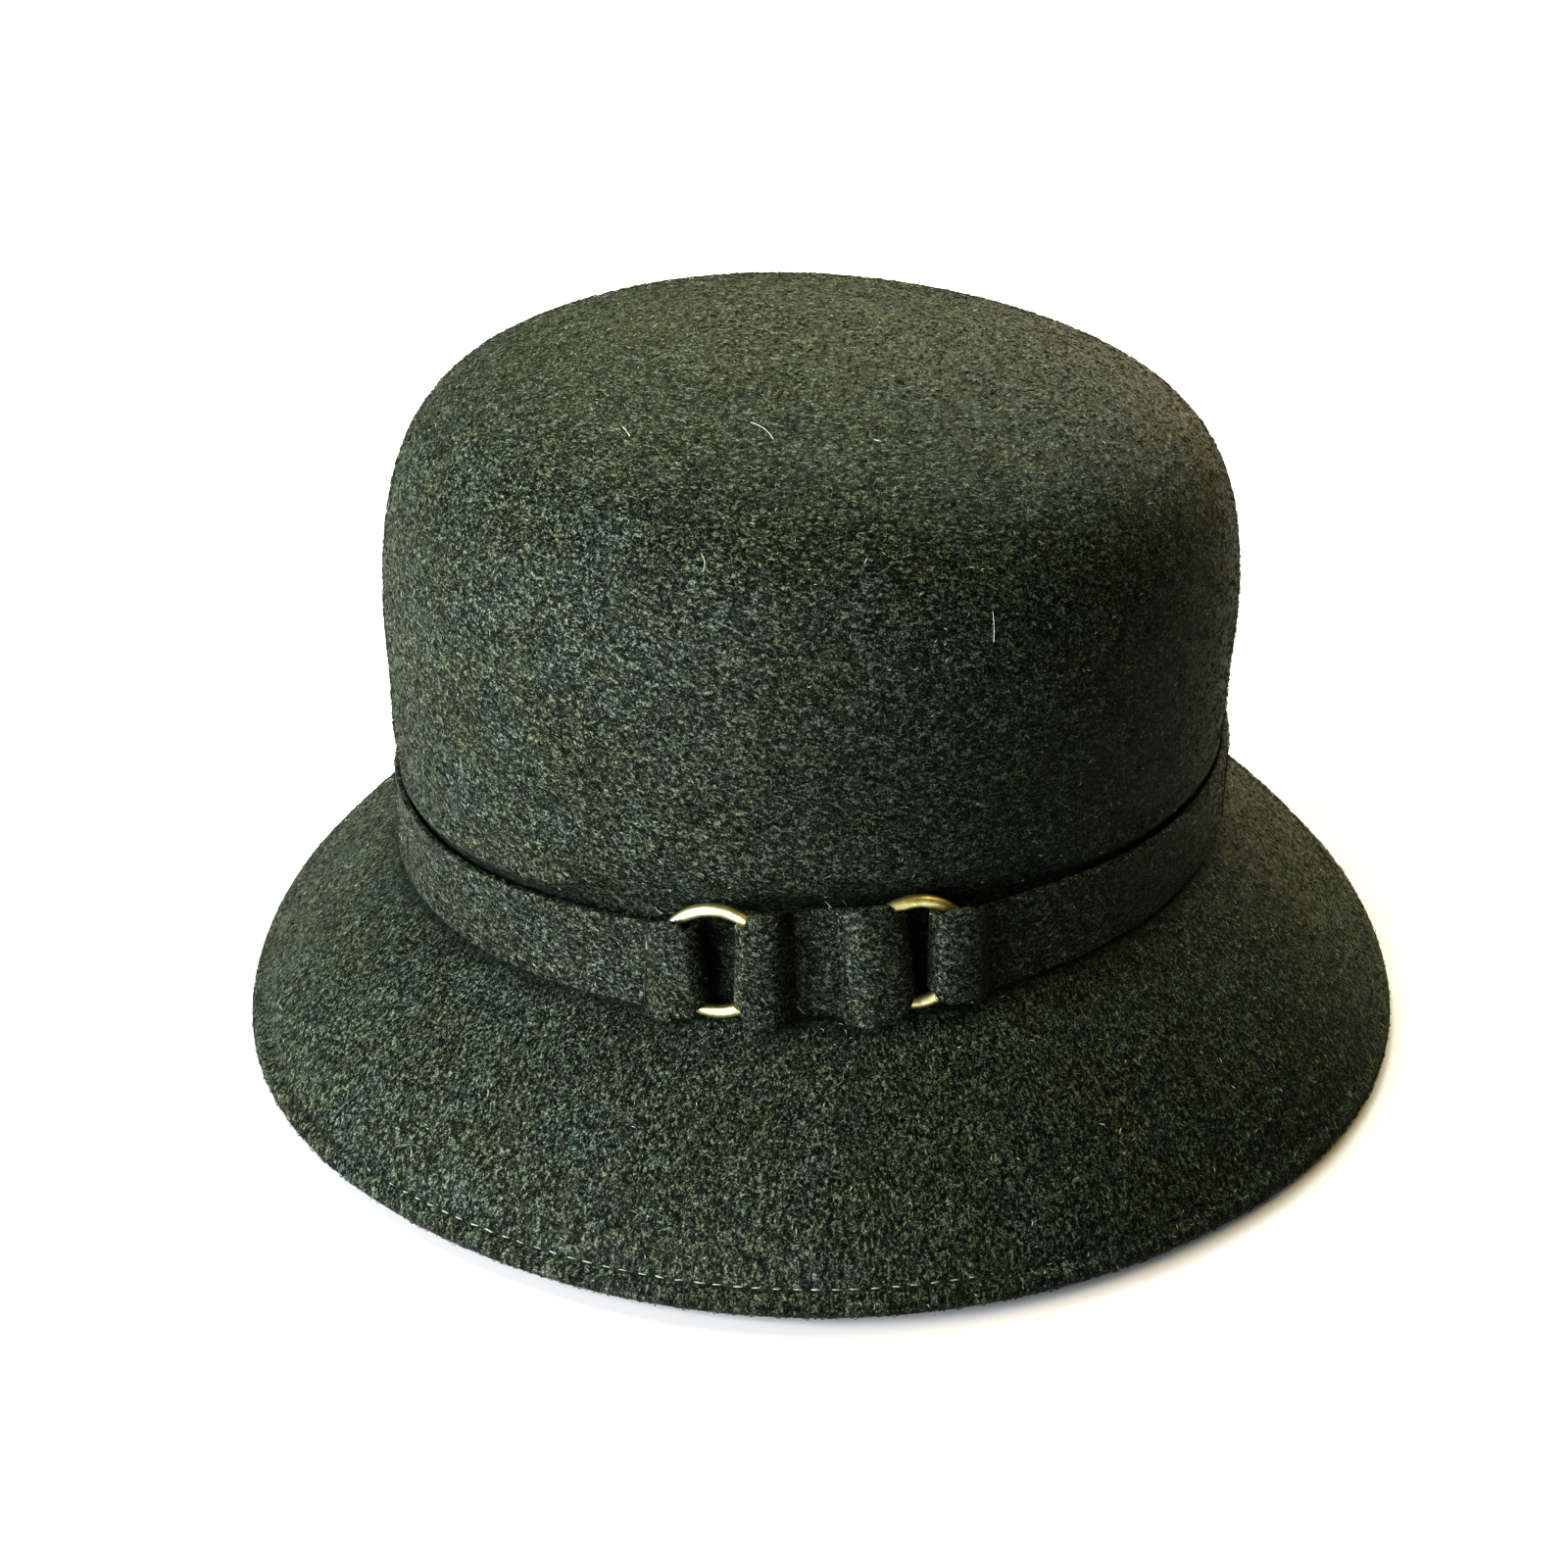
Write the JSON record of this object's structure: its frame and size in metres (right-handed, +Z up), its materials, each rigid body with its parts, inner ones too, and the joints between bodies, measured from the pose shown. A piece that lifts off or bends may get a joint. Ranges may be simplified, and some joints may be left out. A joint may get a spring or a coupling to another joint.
{
  "type": "cloche hat",
  "caption": "Wool-felt cloche hat with a rounded crown, a short sloping brim with a stitched hem, and a felt band looped through brass rings.",
  "frame": {"origin": "middle of the rim's outline, on the surface that the rim stands on", "axes": "+Z up through the crown, -Y towards the front with the rings, +X towards the wearer's left"},
  "size_m": [0.2466, 0.2684, 0.1404],
  "materials": {
    "hood_felt": "dark green melange wool felt with a short, combed nap",
    "band_felt": "the same dark green melange felt, cut in straps",
    "antique_brass": "antique brass wire, polished where it shows and dark in its corners"
  },
  "bodies": {
    "root": {"felt_hood": "hood_felt", "band": "band_felt", "centre_tab": "band_felt", "ring_left": "antique_brass", "ring_right": "antique_brass"}
  },
  "joints": []
}
